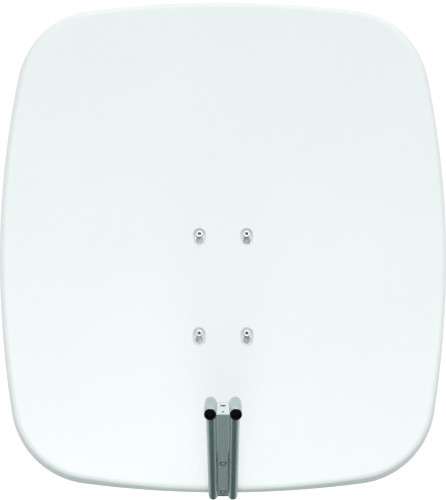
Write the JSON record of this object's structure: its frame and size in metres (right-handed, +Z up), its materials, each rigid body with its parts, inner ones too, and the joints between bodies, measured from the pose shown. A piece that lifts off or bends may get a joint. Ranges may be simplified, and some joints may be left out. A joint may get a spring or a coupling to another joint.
{
  "type": "satellite dish",
  "caption": "Offset satellite dish: rounded-square pressed reflector with a deep rim, twin-tube feed arm and a tilting mount that clamps to a mast.",
  "frame": {"origin": "on the mast's axis, at the middle of the mast clamp's height", "axes": "+Z up along the mast, -Y the way the dish looks, +X to the right seen from in front of the dish"},
  "size_m": [0.8634, 0.8748, 0.9545],
  "materials": {
    "reflector_enamel": "satin off-white powder coat on pressed sheet steel",
    "galvanised_steel": "dull galvanised sheet steel",
    "arm_metal": "dull grey drawn tube",
    "zinc_plated_steel": "bright zinc plate",
    "black_plastic": "matt black moulding"
  },
  "bodies": {
    "mount": {"mast_bracket": "galvanised_steel", "front_jaw": "galvanised_steel", "clamp_bolt_lower_left": "zinc_plated_steel", "clamp_bolt_lower_right": "zinc_plated_steel", "clamp_bolt_upper_left": "zinc_plated_steel", "clamp_bolt_upper_right": "zinc_plated_steel"},
    "clamp": {"rear_jaw": "galvanised_steel", "clamp_washer_lower_left": "zinc_plated_steel", "clamp_washer_lower_right": "zinc_plated_steel", "clamp_washer_upper_left": "zinc_plated_steel", "clamp_washer_upper_right": "zinc_plated_steel", "clamp_nut_lower_left": "zinc_plated_steel", "clamp_nut_lower_right": "zinc_plated_steel", "clamp_nut_upper_left": "zinc_plated_steel", "clamp_nut_upper_right": "zinc_plated_steel"},
    "head": {"arm_strap": "galvanised_steel", "arm_tube_left": "arm_metal", "arm_tube_right": "arm_metal", "arm_web": "arm_metal", "carrier": "galvanised_steel", "lock_bolt_left": "zinc_plated_steel", "lock_bolt_right": "zinc_plated_steel", "lock_nut_left": "zinc_plated_steel", "lock_nut_right": "zinc_plated_steel", "lock_washer_left": "zinc_plated_steel", "lock_washer_right": "zinc_plated_steel", "pivot_bolt": "zinc_plated_steel", "pivot_nut": "zinc_plated_steel", "pivot_washer_left": "zinc_plated_steel", "pivot_washer_right": "zinc_plated_steel", "reflector_nut_lower_left": "zinc_plated_steel", "reflector_nut_lower_right": "zinc_plated_steel", "reflector_nut_upper_left": "zinc_plated_steel", "reflector_nut_upper_right": "zinc_plated_steel", "reflector_screw_lower_left": "zinc_plated_steel", "reflector_screw_lower_right": "zinc_plated_steel", "reflector_screw_upper_left": "zinc_plated_steel", "reflector_screw_upper_right": "zinc_plated_steel", "strap_bolt_lower": "zinc_plated_steel", "strap_bolt_upper": "zinc_plated_steel", "strap_washer_lower": "zinc_plated_steel", "strap_washer_upper": "zinc_plated_steel", "tube_plug_left": "black_plastic", "tube_plug_right": "black_plastic", "web_nut_lower": "zinc_plated_steel", "web_nut_upper": "zinc_plated_steel", "web_screw_lower": "zinc_plated_steel", "web_screw_upper": "zinc_plated_steel"},
    "reflector": {"reflector": "reflector_enamel"}
  },
  "joints": [
    {"name": "elevation", "type": "hinge", "parent": "mount", "child": "head", "pos_m": [0, -0.118, 0.035], "axis": [-1, 0, 0], "range_deg": [-18, 22]},
    {"name": "clamp_grip", "type": "slide", "parent": "mount", "child": "clamp", "axis": [0, 1, 0], "range_m": [-0.0206, 0.0116]},
    {"name": "keyhole_lift", "type": "slide", "parent": "head", "child": "reflector", "axis": [0, 0.1292, 0.9916], "range_m": [0, 0.0126]}
  ]
}
